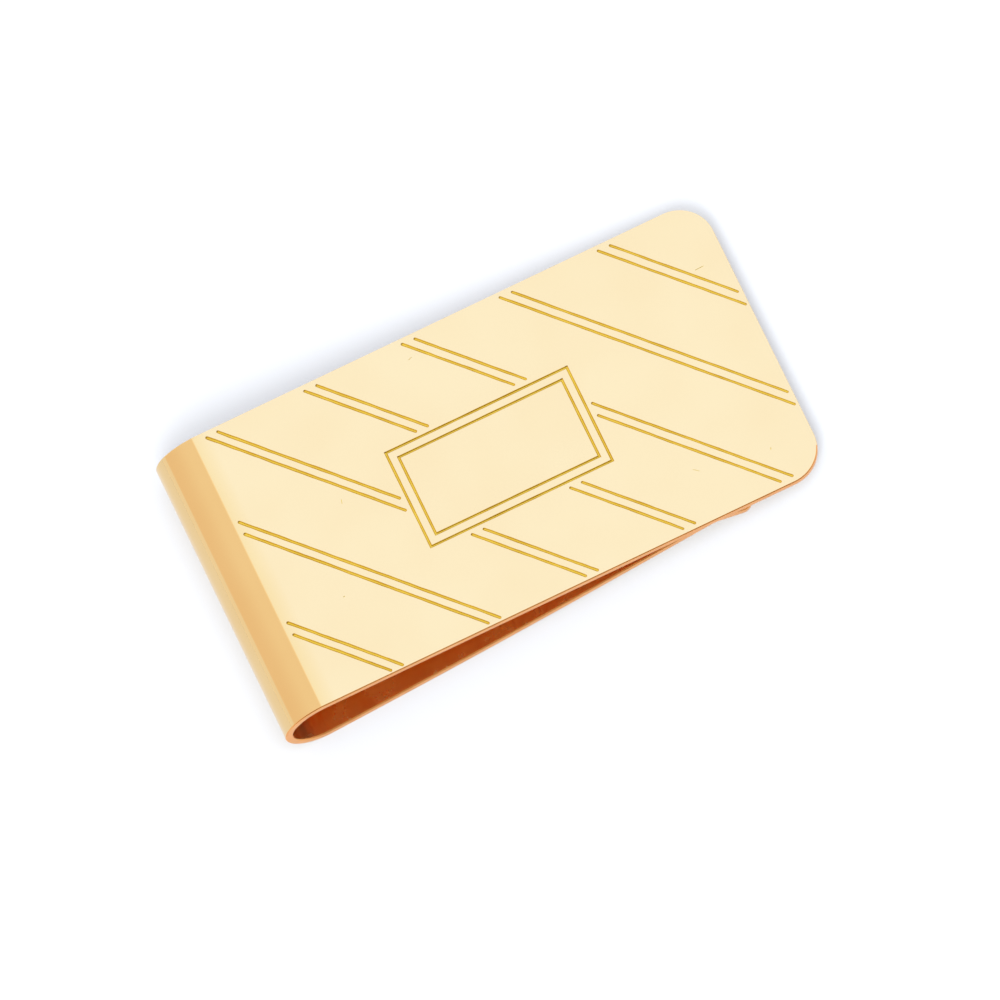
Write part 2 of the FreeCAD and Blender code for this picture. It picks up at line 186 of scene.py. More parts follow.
class SheetMesh:
    """Points and faces in strip coordinates, with a chosen shading normal at every face corner."""

    def __init__(self):
        self.points = []
        self.known = {}
        self.faces = []
        self.normals = []
        self.slots = []

    def add_point(self, point):
        """The number of the point, which is shared with any point already there."""
        key = tuple(round(value * POINT_GRID) for value in point)
        if key not in self.known:
            self.known[key] = len(self.points)
            self.points.append(Vector(point))
        return self.known[key]

    def add_face(self, corners, normals, slot=OUTSIDE):
        """Adds a face that looks the way its normals do."""
        first = self.points[corners[0]]
        area = Vector()
        for left, right in zip(corners[1:], corners[2:]):
            area += (self.points[left] - first).cross(self.points[right] - first)
        if area.dot(sum((Vector(normal) for normal in normals), Vector())) < 0:
            corners = corners[::-1]
            normals = normals[::-1]
        self.faces.append(corners)
        self.normals.extend(strip_turn @ Vector(normal).normalized() for normal in normals)
        self.slots.append(slot)

    def build(self, name, materials):
        """The finished object, in the row frame."""
        mesh = bpy.data.meshes.new(name)
        mesh.from_pydata([strip_origin + strip_turn @ point for point in self.points], [], self.faces)
        mesh.polygons.foreach_set("use_smooth", [True] * len(self.faces))
        mesh.polygons.foreach_set("material_index", self.slots)
        mesh.normals_split_custom_set(self.normals)
        for material in materials:
            mesh.materials.append(material)
        piece = bpy.data.objects.new(name, mesh)
        bpy.context.scene.collection.objects.link(piece)
        return piece


# ---- swept stretches: the bend, the leaf and the ridge ----------------------------------------------------


def walk(point, heading, legs):
    """Stations (x, z, heading) along the strip's middle line. A leg is (length, left turn, steps)."""
    stations = [(point[0], point[1], heading)]
    for length, turn, steps in legs:
        x, z, heading = stations[-1]
        for step in range(1, steps + 1):
            ahead = heading + turn * step / steps
            if turn:
                radius = length / turn
                stations.append((x + radius * (math.sin(ahead) - math.sin(heading)),
                                 z - radius * (math.cos(ahead) - math.cos(heading)), ahead))
            else:
                run = length * step / steps
                stations.append((x + run * math.cos(heading), z + run * math.sin(heading), heading))
    return stations


def arc(radius, turn, steps):
    """A leg that turns through an arc of that middle radius."""
    return (abs(radius * turn), turn, steps)


def lift(station, y, depth):
    """A point at a depth under the outer face, which is on the right of the direction of travel."""
    x, z, heading = station
    out = THICKNESS / 2 - depth
    return (x + out * math.sin(heading), y, z - out * math.cos(heading))


def facing(station, across, out):
    """A shading normal at a station."""
    return (out * math.sin(station[2]), across, -out * math.cos(station[2]))


def slot_for(across, out):
    """Which material a facing gets. The darker edge gold, which is painted shade, reaches further round the
    near edge than round the far one.
    """
    near_shade_start = NEAR_SHADE_START_OUTSIDE if out > 0 else NEAR_SHADE_START_INSIDE
    if across > FAR_SHADE_START or across < -near_shade_start:
        return CUT_EDGE
    return OUTSIDE if out > 0 else INSIDE


def section(reach):
    """The rounded edge profile round the whole strip as (y, depth, normal across, normal outwards)."""
    rows = []
    for quarter in range(4):
        centre_y = (reach - EDGE_ROUND) * (1 if quarter < 2 else -1)
        centre_depth = EDGE_ROUND if quarter in (0, 3) else THICKNESS - EDGE_ROUND
        for step in range(EDGE_STEPS + 1):
            turn = math.pi / 2 * (quarter + step / EDGE_STEPS)
            rows.append((centre_y + EDGE_ROUND * math.sin(turn),
                         centre_depth - EDGE_ROUND * math.cos(turn), math.sin(turn), math.cos(turn)))
    return rows


def slot_between(row, last_row):
    """The material of the skin between two rows of the section."""
    return slot_for((row[2] + last_row[2]) / 2, row[3] + last_row[3])


def leaf_reach(x):
    """Half width of the strip, which tapers along the leaf."""
    start = NOSE_RADIUS * math.sin(BELLY_TURN)
    return half_width - LIP_INSET * max(0.0, x - start) / (LIP_REACH - start)


def add_sweep(sheet, stations, reach_at):
    """The strip's skin through the stations, open at both ends."""
    loops = []
    slots = []
    for station in stations:
        rows = section(reach_at(station[0]))
        slots = [slot_between(row, rows[i - 1]) for i, row in enumerate(rows)]
        loops.append(([sheet.add_point(lift(station, row[0], row[1])) for row in rows],
                      [facing(station, row[2], row[3]) for row in rows]))
    for (near, near_normals), (far, far_normals) in zip(loops, loops[1:]):
        for i in range(len(near)):
            j = (i + 1) % len(near)
            sheet.add_face([near[i], near[j], far[j], far[i]],
                           [near_normals[i], near_normals[j], far_normals[j], far_normals[i]], slots[j])


def add_cap(sheet, station, reach, direction):
    """Closes a stretch flat where it meets its neighbour. Direction is 1 ahead and -1 behind."""
    numbers = [sheet.add_point(lift(station, row[0], row[1])) for row in section(reach)]
    normal = (direction * math.cos(station[2]), 0, direction * math.sin(station[2]))
    sheet.add_face(numbers, [normal] * len(numbers))


def add_free_end(sheet, station, ahead, length, start_reach, end_reach, corner_radius, corner_steps):
    """The rim round a flat free end with rounded corners. Ahead is -1 where travel leaves the free end.
    Returns the face's outline on the outer and on the inner side, as (along, y) points."""
    corner_s = length - corner_radius
    share = corner_s / length
    corner_y = start_reach + (end_reach - start_reach) * share - corner_radius
    swing = corner_radius - EDGE_ROUND
    rim = [(0.0, EDGE_ROUND - start_reach, 0.0, -1.0)]
    for side in (-1, 1):
        for step in range(corner_steps + 1):
            turn = math.pi / 2 * step / corner_steps
            along = math.sin(turn) if side < 0 else math.cos(turn)
            across = side * (math.cos(turn) if side < 0 else math.sin(turn))
            rim.append((corner_s + swing * along, side * corner_y + swing * across, along, across))
    rim.append((0.0, start_reach - EDGE_ROUND, 0.0, 1.0))
    profile = []
    for quarter, centre_depth in enumerate((EDGE_ROUND, THICKNESS - EDGE_ROUND)):
        for step in range(EDGE_STEPS + 1):
            profile.append((math.pi / 2 * (quarter + step / EDGE_STEPS), centre_depth))
    columns = []
    for s, y, along, across in rim:
        numbers = []
        normals = []
        for turn, centre_depth in profile:
            out = EDGE_ROUND * math.sin(turn)
            depth = centre_depth - EDGE_ROUND * math.cos(turn)
            spot = on_flat(station, ahead, s + along * out, y + across * out, depth)
            numbers.append(sheet.add_point(spot))
            normals.append(flat_normal(station, ahead, along * math.sin(turn), across * math.sin(turn),
                                       math.cos(turn)))
        columns.append((numbers, normals))
    for column, (near, near_normals) in enumerate(columns[:-1]):
        far, far_normals = columns[column + 1]
        across = (rim[column][3] + rim[column + 1][3]) / 2
        side = -1 if across < -NEAR_RIM else 1
        for i in range(len(near) - 1):
            middle = (profile[i][0] + profile[i + 1][0]) / 2
            sheet.add_face([near[i], near[i + 1], far[i + 1], far[i]],
                           [near_normals[i], near_normals[i + 1], far_normals[i + 1], far_normals[i]],
                           slot_for(side * math.sin(middle), math.cos(middle)))
    return [(s, y) for s, y, along, across in rim]


def on_flat(station, ahead, s, y, depth):
    """A point of a flat stretch, s beyond the station."""
    x, z, heading = station
    return lift((x + ahead * s * math.cos(heading), z + ahead * s * math.sin(heading), heading), y, depth)


def flat_normal(station, ahead, along, across, out):
    """A shading normal on a flat stretch."""
    heading = station[2]
    return (ahead * along * math.cos(heading) + out * math.sin(heading), across,
            ahead * along * math.sin(heading) - out * math.cos(heading))


def add_flat_face(sheet, station, ahead, outline, depth, out):
    """One plain face across a flat stretch."""
    numbers = [sheet.add_point(on_flat(station, ahead, s, y, depth)) for s, y in outline]
    sheet.add_face(numbers, [flat_normal(station, ahead, 0, 0, out)] * len(numbers), slot_for(0, out))


# ---- engraved lines ---------------------------------------------------------------------------------------

# A groove's profile from its lip to its middle: (share of the half width, share of the depth).
GROOVE_PROFILE = [(1.0, 0.0), (0.93, 0.16), (0.78, 0.42), (0.58, 0.68), (0.36, 0.88), (0.16, 0.975),
                  (0.0, 1.0)]
GROOVE_STATION = 0.6 * MM
CAP_STEPS = 8


def wander(rng, wavelengths):
    """A smooth random curve of distance that stays near zero and within one."""
    waves = [(2 * math.pi / (length * rng.uniform(0.8, 1.2)), rng.uniform(0, 2 * math.pi))
             for length in wavelengths]
    return lambda s: sum(math.sin(rate * s + phase) for rate, phase in waves) / len(waves)


def profile_slopes(depth_share):
    """How steeply the groove's wall falls at each row of the profile."""
    slopes = []
    last = len(GROOVE_PROFILE) - 1
    for i in range(last + 1):
        outer = GROOVE_PROFILE[max(0, i - 1)]
        inner = GROOVE_PROFILE[min(last, i + 1)]
        fall = (inner[1] - outer[1]) * depth_share
        run = (outer[0] - inner[0]) / 2
        slopes.append(0.0 if i == last else fall / run)
    return slopes


def groove_width(x):
    """How wide the diagonal grooves are at a distance along the strip."""
    return FOLD_GROOVE_WIDTH + (FREE_GROOVE_WIDTH - FOLD_GROOVE_WIDTH) * x / PLATE_END


def add_groove(sheet, rng, start, end, width_share=1.0, depth_share=GROOVE_DEPTH_SHARE):
    """A straight groove with rounded ends, cut by hand and so a little uneven. Returns its lip's outline.
    The depth share is of the width."""
    start = Vector(start)
    end = Vector(end)
    length = (end - start).length
    along = (end - start) / length
    left = Vector((-along.y, along.x))
    steps = max(2, round(length / GROOVE_STATION))
    side_wander = wander(rng, (9 * MM, 4 * MM, 1.7 * MM))
    width_wander = wander(rng, (7 * MM, 2.2 * MM))
    depth_wander = wander(rng, (6 * MM, 2.9 * MM))
    slopes = profile_slopes(depth_share)

    def middle(s):
        spot = start + along * s
        return spot + left * side_wander(s) * groove_width(spot.x) * SIDE_STRAY

    path = []
    for step in range(steps + 1):
        path.append((length * step / steps, left))
    for step in range(1, CAP_STEPS):
        turn = math.pi * step / CAP_STEPS
        path.append((length, left * math.cos(turn) + along * math.sin(turn)))
    for step in range(steps + 1):
        path.append((length * (1 - step / steps), -left))
    for step in range(1, CAP_STEPS):
        turn = math.pi * step / CAP_STEPS
        path.append((0.0, -left * math.cos(turn) - along * math.sin(turn)))
    rings = []
    for (share, sink), slope in zip(GROOVE_PROFILE, slopes):
        numbers = []
        normals = []
        for s, away in path:
            spot = middle(s)
            width = groove_width(spot.x) * width_share
            spot += away * share * width / 2 * (1 + WIDTH_STRAY * width_wander(s))
            bottom = -sink * width * depth_share * (1 + DEPTH_STRAY * depth_wander(s))
            numbers.append(sheet.add_point((spot.x, spot.y, bottom)))
            normals.append((-away.x * slope, -away.y * slope, 1.0))
        rings.append((numbers, normals))
    for (outer, outer_normals), (inner, inner_normals) in zip(rings, rings[1:]):
        for i in range(len(path)):
            j = (i + 1) % len(path)
            corners = [outer[i], outer[j], inner[j], inner[i]]
            normals = [outer_normals[i], outer_normals[j], inner_normals[j], inner_normals[i]]
            if inner[i] == inner[j]:
                corners = corners[:3]
                normals = normals[:3]
            sheet.add_face(corners, normals, ENGRAVED)
    return [rings[0][0]]


def add_frame_groove(sheet, rng, inset):
    """A rectangular groove with mitred corners. Returns its two lips' outlines."""
    reach_x = PANEL_LENGTH / 2 - inset
    reach_y = PANEL_HEIGHT / 2 - inset
    corners = [(-1, -1), (1, -1), (1, 1), (-1, 1)]
    slopes = profile_slopes(GROOVE_DEPTH_SHARE)
    width = FRAME_GROOVE_WIDTH
    depth = width * GROOVE_DEPTH_SHARE
    width_wander = wander(rng, (11 * MM, 3.1 * MM))
    rows = [(share, sink, slope) for (share, sink), slope in zip(GROOVE_PROFILE, slopes)]
    rows += [(-share, sink, -slope) for share, sink, slope in rows[-2::-1]]
    rings = []
    for share, sink, slope in rows:
        ring = []
        travelled = 0.0
        for corner, (side_x, side_y) in enumerate(corners):
            next_x, next_y = corners[(corner + 1) % 4]
            length = 2 * (reach_x if side_x != next_x else reach_y)
            away = Vector(((side_x + next_x) / 2, (side_y + next_y) / 2))
            steps = round(length / GROOVE_STATION)
            for step in range(steps + 1):
                part = step / steps
                uneven = 1 + WIDTH_STRAY * width_wander(travelled + length * part) * math.sin(math.pi * part)
                off = share * width / 2
                lean = off * (uneven - 1)
                x = (reach_x + off) * (side_x + (next_x - side_x) * part) + away.x * lean
                y = (reach_y + off) * (side_y + (next_y - side_y) * part) + away.y * lean
                number = sheet.add_point((PANEL_DISTANCE + x, y, -sink * depth))
                ring.append((number, (-away.x * slope, -away.y * slope, 1.0)))
            travelled += length
        rings.append(ring)
    for outer, inner in zip(rings, rings[1:]):
        for i in range(len(outer)):
            j = (i + 1) % len(outer)
            if outer[i][0] != outer[j][0]:
                quad = (outer[i], outer[j], inner[j], inner[i])
                sheet.add_face([number for number, normal in quad], [normal for number, normal in quad],
                               ENGRAVED)
    outlines = []
    for ring in (rings[0], rings[-1]):
        numbers = [number for number, normal in ring]
        outlines.append([n for i, n in enumerate(numbers) if n != numbers[i - 1]])
    return outlines


def clip_to_box(start, end, low, high):
    """The shares of a line that lie inside a box, or None."""
    enter, leave = 0.0, 1.0
    for axis in (0, 1):
        run = end[axis] - start[axis]
        near, far = sorted(((low[axis] - start[axis]) / run, (high[axis] - start[axis]) / run))
        enter, leave = max(enter, near), min(leave, far)
    return (enter, leave) if enter < leave else None


def diagonal_lines(rng):
    """Ends of the diagonal grooves, trimmed to the plate's field and to the panel's surround."""
    reach_x = PANEL_LENGTH / 2 + PANEL_MARGIN
    reach_y = PANEL_HEIGHT / 2 + PANEL_MARGIN
    surround = ((PANEL_DISTANCE - reach_x, -reach_y), (PANEL_DISTANCE + reach_x, reach_y))
    run = half_width / math.tan(GROOVE_ANGLE)
    lines = []
    for pair in range(-PAIRS_EACH_SIDE, PAIRS_EACH_SIDE + 1):
        for side in (-0.5, 0.5):
            centre = PANEL_DISTANCE + pair * PAIR_PITCH + side * PAIR_SPACING
            start = Vector((centre - run, half_width))
            end = Vector((centre + run, -half_width))
            near_x = min(centre + run, PLATE_END)
            margins = [FOLD_MARGIN, NEAR_MARGIN + NEAR_MARGIN_GROWTH * near_x, FREE_END_MARGIN, FAR_MARGIN]
            spread = [0.0, 0.0, MARGIN_SPREAD, MARGIN_SPREAD]
            margins = [margin + rng.uniform(0, extra) for margin, extra in zip(margins, spread)]
            fold_side, near_side, free_side, far_side = margins
            end_round = groove_width(near_x) / 2
            start_round = groove_width(max(centre - run, 0.0)) / 2
            field = ((fold_side + start_round, near_side + end_round - half_width),
                     (PLATE_END - free_side - end_round, half_width - far_side - start_round))
            kept = clip_to_box(start, end, *field)
            if kept is None:
                continue
            gap = clip_to_box(start, end, *surround)
            stretches = [kept]
            if gap is not None:
                stretches = [(kept[0], min(kept[1], gap[0])), (max(kept[0], gap[1]), kept[1])]
            for enter, leave in stretches:
                if (leave - enter) * (end - start).length > FOLD_GROOVE_WIDTH:
                    lines.append((start.lerp(end, enter), start.lerp(end, leave)))
    return lines


def add_engraved_face(sheet, outline, grooves):
    """Fills the face between its outline and the grooves' lips. All of them are lists of point numbers."""
    loops = []
    for loop in [outline] + grooves:
        turned = 0.0
        for i, number in enumerate(loop):
            here = sheet.points[loop[i - 1]]
            there = sheet.points[number]
            turned += here.x * there.y - there.x * here.y
        loops.append(loop if turned > 0 else loop[::-1])
    numbers = sorted(set(number for loop in loops for number in loop))
    place = {number: i for i, number in enumerate(numbers)}
    flat = [Vector((sheet.points[number].x / MM, sheet.points[number].y / MM)) for number in numbers]
    faces = [[place[number] for number in loop] for loop in loops]
    keep_inside = 1
    weld_distance = 1e-6
    result = delaunay_2d_cdt(flat, [], faces, keep_inside, weld_distance, True)
    _, _, triangles, came_from, _, inside = result
    up = (0, 0, 1)
    for corners, owners in zip(triangles, inside):
        if 0 in owners and len(owners) % 2 == 1:
            sheet.add_face([numbers[came_from[corner][0]] for corner in corners], [up] * len(corners))


def add_scratches(sheet, rng):
    """A few short marks of use, clear of the engraving. Each is (x, y, length, turn in degrees, width
    share), in millimetres."""
    marks = [(44.93, 7.51, 0.75, 3, 0.20), (37.2, -8.6, 0.55, 140, 0.16), (9.4, 2.4, 0.35, 75, 0.16),
             (19.8, 11.3, 0.30, 20, 0.16), (43.6, -9.7, 0.12, 60, 0.30), (6.1, -5.3, 0.10, 10, 0.22)]
    lips = []
    for x, y, length, degrees, share in marks:
        half = Vector((math.cos(math.radians(degrees)), math.sin(math.radians(degrees)))) * length * MM / 2
        middle = Vector((x * MM, y * MM))
        lips += add_groove(sheet, rng, middle - half, middle + half, share, SCRATCH_DEPTH_SHARE)
    return lips


# ---- materials --------------------------------------------------------------------------------------------

# Nearly all of a noise lies between these two.
NOISE_LOW = 0.3
NOISE_HIGH = 0.7

# Where Blender's mix node keeps its two colours and their mixture.
MIX_FIRST = 6
MIX_SECOND = 7
MIX_RESULT = 2


def add_noise(nodes, links, place, scale, detail, stretch=(1, 1, 1)):
    """A noise texture. The scale is how many features there are in a millimetre."""
    mapping = nodes.new("ShaderNodeMapping")
    mapping.inputs["Scale"].default_value = [scale * part / MM for part in stretch]
    links.new(place.outputs["Object"], mapping.inputs["Vector"])
    noise = nodes.new("ShaderNodeTexNoise")
    noise.inputs["Scale"].default_value = 1.0
    noise.inputs["Detail"].default_value = detail
    links.new(mapping.outputs["Vector"], noise.inputs["Vector"])
    return noise


def add_range(nodes, links, source, low, high, from_low=NOISE_LOW, from_high=NOISE_HIGH):
    """The source spread over low to high."""
    spread = nodes.new("ShaderNodeMapRange")
    spread.inputs["From Min"].default_value = from_low
    spread.inputs["From Max"].default_value = from_high
    spread.inputs["To Min"].default_value = low
    spread.inputs["To Max"].default_value = high
    links.new(source, spread.inputs["Value"])
    return spread


def add_bump(nodes, links, source, distance):
    """A bump of that height, driven by the source."""
    bump = nodes.new("ShaderNodeBump")
    bump.inputs["Strength"].default_value = 1.0
    bump.inputs["Distance"].default_value = distance
    links.new(source, bump.inputs["Height"])
    return bump


def paint_fold_shade(nodes, links, place, colour, fold_shade_colour, plate_shade_colour):
    """Paints shade on the fold: multiplies the colour by a darker tint on the fold and by a lighter one next
    to it, fading out along the plate.
    The change from one tint to the other is between the two edges, in shares of the whole reach."""
    fold_edge = 0.47
    plate_edge = 0.52
    apart = nodes.new("ShaderNodeSeparateXYZ")
    links.new(place.outputs["Object"], apart.inputs["Vector"])
    crease = (strip_origin + strip_turn @ Vector((CREASE_DISTANCE, 0, 0))).x
    along = add_range(nodes, links, apart.outputs["X"], 0.0, 1.0, crease - SHADE_REACH, crease + SHADE_REACH)
    tints = nodes.new("ShaderNodeValToRGB")
    tints.color_ramp.elements[0].position = fold_edge
    tints.color_ramp.elements[0].color = (*fold_shade_colour, 1.0)
    tints.color_ramp.elements[1].position = 1.0
    tints.color_ramp.elements[1].color = (1.0, 1.0, 1.0, 1.0)
    tints.color_ramp.elements.new(plate_edge).color = (*plate_shade_colour, 1.0)
    links.new(along.outputs["Result"], tints.inputs["Fac"])
    tinted = nodes.new("ShaderNodeMix")
    tinted.data_type = "RGBA"
    tinted.blend_type = "MULTIPLY"
    tinted.inputs["Factor"].default_value = 1.0
    links.new(colour, tinted.inputs[MIX_FIRST])
    links.new(tints.outputs["Color"], tinted.inputs[MIX_SECOND])
    return tinted.outputs[MIX_RESULT]


# The gold's noises: how many features there are in a millimetre, and their detail. The rubbing marks are
# drawn out along the strip.
TONE_DETAIL = 1.5
POLISH_SCALE = 0.5
POLISH_DETAIL = 4.0
RIPPLE_SCALE = 0.22
RIPPLE_DETAIL = 2.0
MARK_SCALE = 1.0
MARK_DETAIL = 3.0
MARK_STRETCH = (0.6, 22.0, 22.0)


def gold_material(name, light_tone, deep_tone, smooth, rough, ripple, grain, patches, painted_fold_shades=None):
    """Polished gold plate: a slow change of tone, uneven polish, a long ripple and fine rubbing marks.
    Smooth and rough are roughnesses, ripple and grain are heights, and patches is the tone's scale. Painted
    fold shades, when given, darken the fold as painted shade."""
    material = bpy.data.materials.new(name)
    material.use_nodes = True
    nodes = material.node_tree.nodes
    links = material.node_tree.links
    shader = nodes["Principled BSDF"]
    shader.inputs["Metallic"].default_value = 1.0
    place = nodes.new("ShaderNodeTexCoord")
    clouds = add_noise(nodes, links, place, patches, TONE_DETAIL)
    tone = nodes.new("ShaderNodeValToRGB")
    tone.color_ramp.elements[0].position = NOISE_LOW
    tone.color_ramp.elements[0].color = (*deep_tone, 1.0)
    tone.color_ramp.elements[1].position = NOISE_HIGH
    tone.color_ramp.elements[1].color = (*light_tone, 1.0)
    links.new(clouds.outputs["Fac"], tone.inputs["Fac"])
    colour = tone.outputs["Color"]
    if painted_fold_shades is not None:
        colour = paint_fold_shade(nodes, links, place, colour, *painted_fold_shades)
    links.new(colour, shader.inputs["Base Color"])
    polish = add_noise(nodes, links, place, POLISH_SCALE, POLISH_DETAIL)
    spread = add_range(nodes, links, polish.outputs["Fac"], smooth, rough)
    links.new(spread.outputs["Result"], shader.inputs["Roughness"])
    waves = add_noise(nodes, links, place, RIPPLE_SCALE, RIPPLE_DETAIL)
    long_bump = add_bump(nodes, links, waves.outputs["Fac"], ripple)
    marks = add_noise(nodes, links, place, MARK_SCALE, MARK_DETAIL, MARK_STRETCH)
    fine_bump = add_bump(nodes, links, marks.outputs["Fac"], grain)
    links.new(long_bump.outputs["Normal"], fine_bump.inputs["Normal"])
    links.new(fine_bump.outputs["Normal"], shader.inputs["Normal"])
    return material


# The polished gold has painted shade on the fold: it is darker there and fades out along the plate.
polished = gold_material("polished_gold", light_tone=(0.935, 0.71, 0.39), deep_tone=(0.925, 0.69, 0.37),
                         smooth=0.05, rough=0.085, ripple=4e-6, grain=2e-8, patches=0.16,
                         painted_fold_shades=((0.83, 0.785, 0.70), (0.975, 0.93, 0.80)))
# The sheared edges are rougher than the faces, which is real; their darker, deeper orange colour is painted
# shade.
sheared_and_shaded = gold_material("sheared_shaded_gold", light_tone=(0.87, 0.41, 0.135), deep_tone=(0.81, 0.365, 0.110),
                        smooth=0.26, rough=0.40, ripple=2e-6, grain=3e-7, patches=0.6)
inner = gold_material("inner_gold", light_tone=(1.0, 0.725, 0.34), deep_tone=(0.995, 0.695, 0.31),
                      smooth=0.20, rough=0.30, ripple=1.5e-6, grain=4e-8, patches=0.3)
# The cuts are rougher than the plate, which is real; their darker, deep yellow colour is painted shade of
# the hollow cut.
engraved = gold_material("engraved_shaded_gold", light_tone=(0.83, 0.60, 0.09), deep_tone=(0.75, 0.51, 0.06),
                         smooth=0.20, rough=0.32, ripple=2e-6, grain=4e-7, patches=0.6)
finishes = [polished, sheared_and_shaded, inner, engraved]

# ---- the engraved face ------------------------------------------------------------------------------------

CUT_SEED = 11
rng = random.Random(CUT_SEED)
face_station = (plate_start, -THICKNESS / 2, math.pi)
face = SheetMesh()
face_outline = add_free_end(face, face_station, -1, PLATE_END - plate_start, half_width, half_width,
                            FREE_CORNER_RADIUS, FREE_CORNER_STEPS)
grooves = []
for start, end in diagonal_lines(rng):
    grooves += add_groove(face, rng, start, end)
for frame_line in range(2):
    grooves += add_frame_groove(face, rng, frame_line * FRAME_STEP)
grooves += add_scratches(face, rng)
outline_numbers = [face.add_point(on_flat(face_station, -1, s, y, 0.0)) for s, y in face_outline]
add_engraved_face(face, outline_numbers, grooves)
add_flat_face(face, face_station, -1, face_outline, THICKNESS, -1)
add_cap(face, face_station, half_width, 1)
engraved_face = face.build("engraved_face", finishes)
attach(engraved_face, "clip_face")
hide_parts("face_plate")

# ---- the spring bend --------------------------------------------------------------------------------------

bend_legs = [arc(shoulder_radius - THICKNESS / 2, SHOULDER_TURN, SHOULDER_STEPS),
             arc(nose_middle, math.pi - SHOULDER_TURN + BELLY_TURN, NOSE_STEPS)]
bend_stations = walk((plate_start, -THICKNESS / 2), math.pi, bend_legs)
bend = SheetMesh()
add_sweep(bend, bend_stations, lambda x: half_width)
add_cap(bend, bend_stations[0], half_width, -1)
add_cap(bend, bend_stations[-1], half_width, 1)
folded_bend = bend.build("folded_bend", finishes[:3])
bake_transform(folded_bend)
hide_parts("spring_bend")

# ---- the spring leaf --------------------------------------------------------------------------------------

leaf_stations = walk(leaf_start, 2 * math.pi + BELLY_TURN,
                     [arc(bow_radius, contact_turn - BELLY_TURN, LEAF_STEPS)])
leaf = SheetMesh()
add_sweep(leaf, leaf_stations, leaf_reach)
add_cap(leaf, leaf_stations[0], leaf_reach(leaf_stations[0][0]), -1)
add_cap(leaf, leaf_stations[-1], leaf_reach(leaf_stations[-1][0]), 1)
spring_leaf = leaf.build("spring_leaf", finishes[:3])
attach(spring_leaf, "grip")
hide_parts("grip_leaf")

# ---- the contact ridge and the flared lip -----------------------------------------------------------------

ridge_stations = walk(leaf_stations[-1][:2], leaf_stations[-1][2],
                      [arc(ridge_middle, -contact_turn - LIP_TURN, RIDGE_STEPS)])
lip = SheetMesh()
add_sweep(lip, ridge_stations, leaf_reach)
add_cap(lip, ridge_stations[0], leaf_reach(ridge_stations[0][0]), -1)
lip_reach_start = leaf_reach(ridge_stations[-1][0])
lip_outline = add_free_end(lip, ridge_stations[-1], 1, lip_run, lip_reach_start, half_width - LIP_INSET,
                           LIP_CORNER_RADIUS, LIP_CORNER_STEPS)
add_flat_face(lip, ridge_stations[-1], 1, lip_outline, 0.0, 1)
add_flat_face(lip, ridge_stations[-1], 1, lip_outline, THICKNESS, -1)
lip_piece = lip.build("flared_tip", finishes[:3])
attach(lip_piece, "grip")
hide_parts("flared_lip")

# ---- floor and light --------------------------------------------------------------------------------------

# The paper glows a little, so that the clip's shadow on it stays soft.
FLOOR_REACH = 0.6
PAPER_TONE = 0.335
PAPER_GLOW = 0.30
PAPER_ROUGHNESS = 0.9

floor_mesh = bpy.data.meshes.new("floor")
floor_signs = [(-1, -1), (1, -1), (1, 1), (-1, 1)]
floor_corners = [(FLOOR_REACH * x, FLOOR_REACH * y, cad_low.z) for x, y in floor_signs]
floor_mesh.from_pydata(floor_corners, [], [(0, 1, 2, 3)])
floor = bpy.data.objects.new("floor", floor_mesh)
bpy.context.scene.collection.objects.link(floor)

paper = bpy.data.materials.new("white_sweep")
paper.use_nodes = True
paper_nodes = paper.node_tree.nodes
paper_shader = paper_nodes["Principled BSDF"]
paper_shader.inputs["Roughness"].default_value = PAPER_ROUGHNESS
paper_shader.inputs["Specular IOR Level"].default_value = 0.0
paper_shader.inputs["Base Color"].default_value = (PAPER_TONE, PAPER_TONE, PAPER_TONE, 1.0)
paper_shader.inputs["Emission Color"].default_value = (1.0, 1.0, 1.0, 1.0)
paper_shader.inputs["Emission Strength"].default_value = PAPER_GLOW
floor_mesh.materials.append(paper)


def add_softbox(name, direction, distance, width, brightness, tone, target):
    """A square area light that faces the target from a direction, and that no polish mirrors. Brightness is
    its radiance."""
    light = bpy.data.lights.new(name, "AREA")
    light.shape = "RECTANGLE"
    light.size = width
    light.size_y = width
    light.energy = brightness * math.pi * width * width
    light.color = tone
    lamp = bpy.data.objects.new(name, light)
    back = Vector(direction).normalized()
    lamp.location = target + back * distance
    lamp.rotation_euler = back.to_track_quat("Z", "Y").to_euler()
    lamp.visible_glossy = False
    bpy.context.scene.collection.objects.link(lamp)


def side_mask(nodes, links, place, normal, soft, shift=0.0):
    """1 where a direction lies beyond a plane across the normal, and 0 before it, with a soft edge."""
    reach = nodes.new("ShaderNodeVectorMath")
    reach.operation = "DOT_PRODUCT"
    reach.inputs[1].default_value = normal
    links.new(place.outputs["Generated"], reach.inputs[0])
    step = add_range(nodes, links, reach.outputs["Value"], 0.0, 1.0, shift - soft, shift + soft)
    step.interpolation_type = "SMOOTHSTEP"
    return step.outputs["Result"]


def multiply(nodes, links, left, right):
    """The product of two values."""
    product = nodes.new("ShaderNodeMath")
    product.operation = "MULTIPLY"
    links.new(left, product.inputs[0])
    links.new(right, product.inputs[1])
    return product.outputs[0]


def blend_tones(nodes, links, share, below, above):
    """One colour turning into another as the share grows. A colour is a plain tone or an output."""
    mix = nodes.new("ShaderNodeMix")
    mix.data_type = "RGBA"
    links.new(share, mix.inputs["Factor"])
    for colour, entry in ((below, mix.inputs[MIX_FIRST]), (above, mix.inputs[MIX_SECOND])):
        if isinstance(colour, tuple):
            entry.default_value = (*colour, 1.0)
        else:
            links.new(colour, entry)
    return mix.outputs[MIX_RESULT]


def leaning(degrees, axis):
    """The strip's x (axis 0) or y (axis 1) direction, tipped up by that angle."""
    normal = Vector((0, 0, math.sin(math.radians(degrees))))
    normal[axis] = math.cos(math.radians(degrees))
    return strip_turn @ normal


